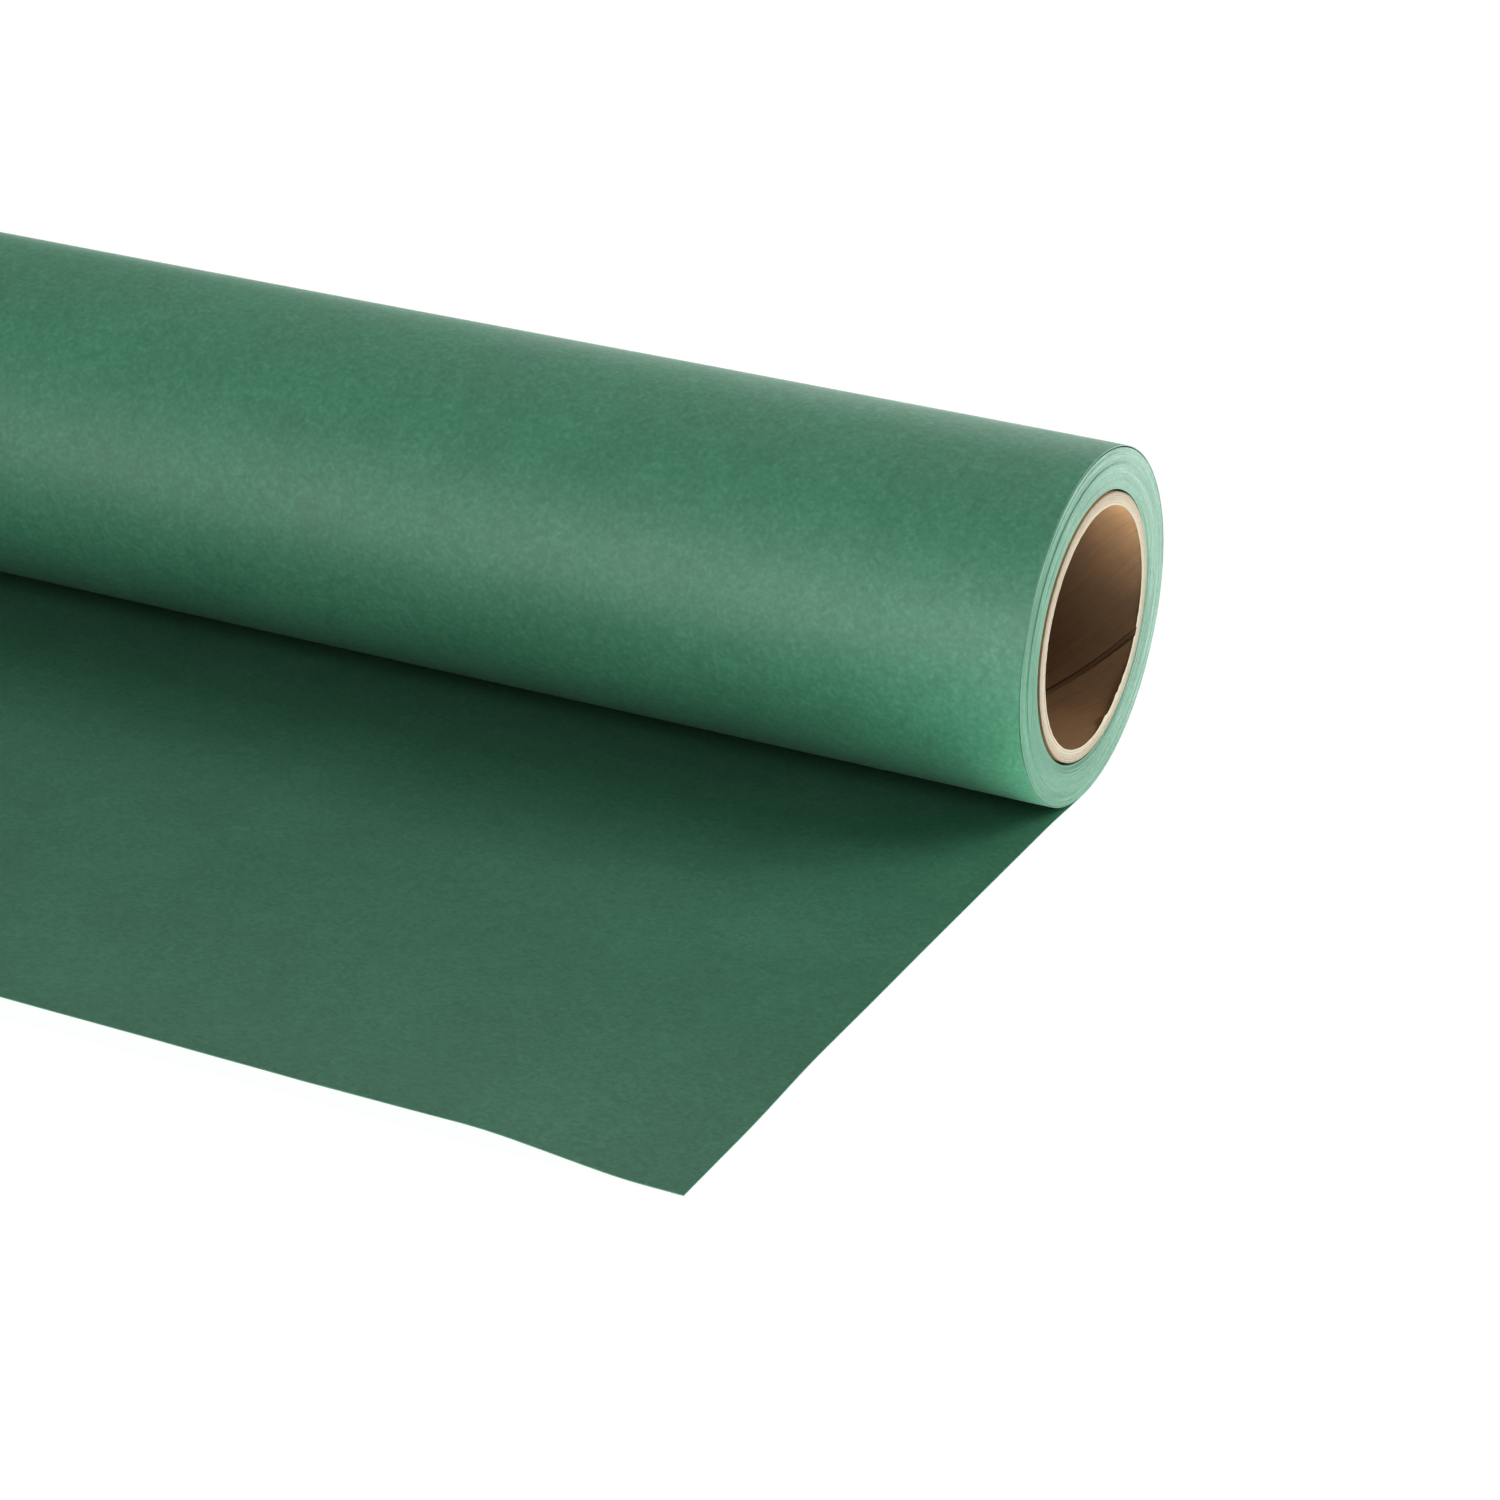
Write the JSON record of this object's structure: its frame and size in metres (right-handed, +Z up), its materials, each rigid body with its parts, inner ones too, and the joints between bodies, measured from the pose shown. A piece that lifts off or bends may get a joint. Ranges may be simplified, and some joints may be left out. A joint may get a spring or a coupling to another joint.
{
  "type": "backdrop paper roll",
  "caption": "Roll of seamless backdrop paper wound on a spiral-wound paperboard tube, with its free end paid out flat from under the roll.",
  "frame": {"origin": "middle of the tube's bore, on its axis, halfway along the roll", "axes": "+X along the roll's axis towards the end that shows, +Y to the back, +Z up; the free end lies on the floor towards -Y"},
  "size_m": [1.3505, 0.2324, 0.08],
  "materials": {
    "paper": "matte, faintly fibrous, with a soft broad sheen",
    "paper_roll": "matte faces between turns, cut edges paler at both ends",
    "masking_tape": "matte crepe paper tape",
    "kraft_liner": "matte brown kraft with fine streaks",
    "core_board": "matte beige recycled board",
    "kraft_outer": "matte light kraft"
  },
  "bodies": {
    "web": {"free_sheet": "paper", "last_turn": "paper"},
    "roll": {"wound_pack": "paper_roll", "leader_tape": "masking_tape", "core_liner_ply": "kraft_liner", "core_body_ply_1": "core_board", "core_body_ply_2": "core_board", "core_body_ply_3": "core_board", "core_body_ply_4": "core_board", "core_body_ply_5": "core_board", "core_outer_ply": "kraft_outer"}
  },
  "joints": [
    {"name": "roll_turn", "type": "hinge", "parent": "web", "child": "roll", "pos_m": [0, 0, 0], "axis": [-1, 0, 0], "continuous": true}
  ]
}
